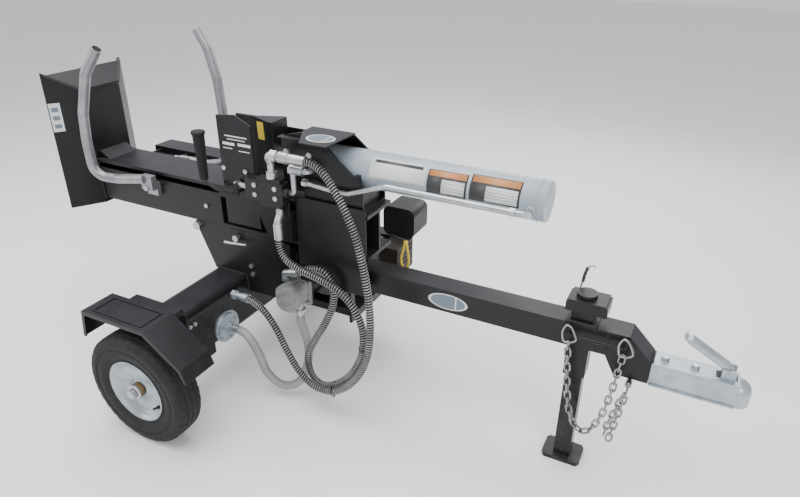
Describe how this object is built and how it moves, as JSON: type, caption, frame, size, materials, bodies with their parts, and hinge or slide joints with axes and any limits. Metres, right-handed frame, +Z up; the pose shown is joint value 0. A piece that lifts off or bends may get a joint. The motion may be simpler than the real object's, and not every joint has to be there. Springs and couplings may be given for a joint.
{
  "type": "log splitter",
  "caption": "Towable hydraulic log splitter: tilting I-beam with ram, wedge and foot plate on a two-wheeled oil-tank chassis with engine, tongue, coupler and drop jack.",
  "frame": {"origin": "on the ground, at the middle of the machine's bounding box", "axes": "+X forward along the tongue to the coupler, +Y to the engine's side, +Z up"},
  "size_m": [2.3811, 1.188, 1.1943],
  "materials": {
    "black_paint": "satin black powder coat, scuffed at edges",
    "zinc_plate": "bright zinc plate, faintly clouded",
    "steel": "plain zinc-plated steel hardware",
    "barrel_paint": "pale grey-blue enamel",
    "rod_chrome": "hard chrome, fine polish",
    "tube_steel": "bare dull zinc tube",
    "tyre_rubber": "matt dusty rubber",
    "bearing_bronze": "oiled sintered bronze",
    "cast_alloy": "as-cast alloy",
    "crankcase_alloy": "sandblasted die-cast alloy",
    "black_plastic": "moulded black plastic",
    "grip_rubber": "black moulded rubber",
    "valve_iron": "black painted iron casting",
    "hose_black": "black hose in a coiled guard",
    "hose_grey": "grey wire-reinforced suction hose",
    "muffler_steel": "heat-dulled steel",
    "red_plastic": "red switch"
  },
  "bodies": {
    "chassis": {"tank": "black_paint", "tower": "black_paint", "tongue": "black_paint", "near_fender": "black_paint", "far_fender": "black_paint", "engine_plate": "black_paint", "crankcase": "crankcase_alloy", "engine_cylinder": "cast_alloy", "blower_housing": "black_paint", "recoil_cover": "black_plastic", "fuel_tank": "black_plastic", "muffler": "muffler_steel", "air_cleaner": "black_plastic", "bell_housing": "black_paint", "pump": "cast_alloy", "pump_fittings": "steel", "tank_ports": "zinc_plate", "suction_hose": "hose_grey", "pressure_hose": "hose_black", "return_hose": "hose_black", "engine_guard": "black_paint", "jack_sleeve": "black_paint", "coupler": "zinc_plate", "safety_chain": "zinc_plate", "frame_bolts": "steel", "hinge_pin": "steel"},
    "crankshaft": {"crankshaft": "steel"},
    "recoil_grip": {"recoil_grip": "black_plastic"},
    "fuel_cap": {"fuel_cap": "black_plastic"},
    "throttle_lever": {"throttle_lever": "black_plastic"},
    "stop_switch": {"stop_switch": "red_plastic"},
    "near_wheel": {"near_tyre": "tyre_rubber", "near_rim": "zinc_plate", "near_bearings": "bearing_bronze"},
    "far_wheel": {"far_tyre": "tyre_rubber", "far_rim": "zinc_plate", "far_bearings": "bearing_bronze"},
    "jack_leg": {"jack_leg": "black_paint"},
    "jack_pin": {"jack_pin": "steel"},
    "coupler_latch": {"coupler_latch": "zinc_plate"},
    "coupler_jaw": {"coupler_jaw": "steel"},
    "latch_pin": {"latch_pin": "steel"},
    "beam": {"beam": "black_paint", "foot_plate": "black_paint", "near_cradle": "tube_steel", "far_cradle": "tube_steel", "log_tray": "black_paint", "stripper": "black_paint", "cylinder_mount": "black_paint", "barrel": "barrel_paint", "gland": "steel", "steel_pipe": "steel", "valve_body": "valve_iron", "valve_bracket": "black_paint", "valve_fittings": "steel", "beam_bolts": "steel"},
    "valve_lever": {"valve_lever": "grip_rubber"},
    "valve_spool": {"valve_spool": "steel"},
    "ram": {"piston_rod": "rod_chrome", "wedge": "black_paint"}
  },
  "joints": [
    {"name": "beam_tilt", "type": "hinge", "parent": "chassis", "child": "beam", "pos_m": [-0.64, 0, 0.548], "axis": [0, -1, 0], "range_deg": [0, 90]},
    {"name": "ram_stroke", "type": "slide", "parent": "beam", "child": "ram", "axis": [-1, 0, 0], "range_m": [0, 0.61]},
    {"name": "control_lever", "type": "hinge", "parent": "beam", "child": "valve_lever", "pos_m": [-0.392, -0.137, 0.74], "axis": [0, 1, 0], "range_deg": [-14, 14], "stiffness_Nm_per_rad": 45},
    {"name": "spool_slide", "type": "slide", "parent": "beam", "child": "valve_spool", "axis": [1, 0, 0], "range_m": [-0.0065, 0.0065]},
    {"name": "near_wheel_spin", "type": "hinge", "parent": "chassis", "child": "near_wheel", "pos_m": [-0.51, -0.53, 0.197], "axis": [0, 1, 0], "continuous": true},
    {"name": "far_wheel_spin", "type": "hinge", "parent": "chassis", "child": "far_wheel", "pos_m": [-0.51, 0.53, 0.197], "axis": [0, 1, 0], "continuous": true},
    {"name": "crank_spin", "type": "hinge", "parent": "chassis", "child": "crankshaft", "pos_m": [-0.222, 0, 0.386], "axis": [0, 1, 0], "continuous": true},
    {"name": "starter_pull", "type": "slide", "parent": "chassis", "child": "recoil_grip", "axis": [0, 1, 0], "range_m": [0, 0.45], "stiffness_N_per_m": 30},
    {"name": "fuel_cap_turn", "type": "hinge", "parent": "chassis", "child": "fuel_cap", "pos_m": [-0.282, 0.2, 0.655], "axis": [0, 0, 1], "range_deg": [0, 90]},
    {"name": "throttle", "type": "hinge", "parent": "chassis", "child": "throttle_lever", "pos_m": [-0.326, 0.221, 0.514], "axis": [0, 1, 0], "range_deg": [-15, 15]},
    {"name": "stop_switch_turn", "type": "hinge", "parent": "chassis", "child": "stop_switch", "pos_m": [-0.354, 0.254, 0.416], "axis": [0, 1, 0], "range_deg": [-20, 20]},
    {"name": "jack_drop", "type": "slide", "parent": "chassis", "child": "jack_leg", "axis": [0, 0, 1], "range_m": [0, 0.24]},
    {"name": "jack_pin_pull", "type": "slide", "parent": "chassis", "child": "jack_pin", "axis": [0, 1, 0], "range_m": [-0.005, 0.03], "stiffness_N_per_m": 300},
    {"name": "coupler_latch_lift", "type": "hinge", "parent": "chassis", "child": "coupler_latch", "pos_m": [1.117, 0, 0.463], "axis": [0, 1, 0], "range_deg": [-20, 45]},
    {"name": "coupler_jaw_slide", "type": "slide", "parent": "chassis", "child": "coupler_jaw", "axis": [1, 0, 0], "range_m": [-0.0062, 0.003]},
    {"name": "beam_lock_pin", "type": "slide", "parent": "chassis", "child": "latch_pin", "axis": [0, -1, 0], "range_m": [0, 0.16]}
  ],
  "couplings": [
    {"joint": "spool_slide", "follows": "control_lever", "m_per_rad": 0.025},
    {"joint": "coupler_jaw_slide", "follows": "coupler_latch_lift", "m_per_rad": -0.0072}
  ]
}
